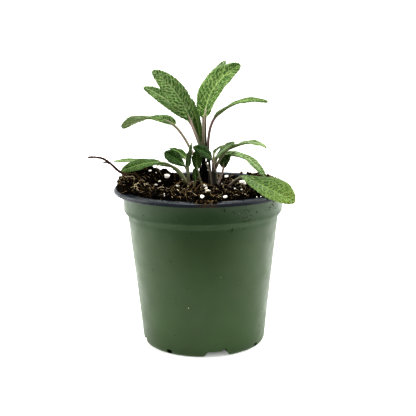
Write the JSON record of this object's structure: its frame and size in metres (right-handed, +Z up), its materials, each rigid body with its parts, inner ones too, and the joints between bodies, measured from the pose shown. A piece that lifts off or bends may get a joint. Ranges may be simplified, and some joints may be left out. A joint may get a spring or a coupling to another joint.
{
  "type": "potted sage",
  "caption": "Young sage plant with long grey-green leaves on three short stems and a low leaf, in peat mix in a round tapered nursery pot.",
  "frame": {"origin": "middle of the pot's foot, on the surface that the pot stands on", "axes": "+Z up out of the pot, which is the part's longest way; the front is towards -Y, with +X to its right"},
  "size_m": [0.1276, 0.1142, 0.1807],
  "materials": {
    "pot": "satin, thin drawn sheet, green outside and black inside",
    "potting_mix": "matte fibrous peat with ivory perlite",
    "leaf": "matte, finely netted and downy",
    "twig": "matte dry bark"
  },
  "bodies": {
    "root": {"pot": "pot", "potting_mix": "potting_mix", "main_shoot": "leaf", "left_shoot": "leaf", "right_shoot": "leaf", "low_leaf": "leaf", "twig": "twig"}
  },
  "joints": []
}
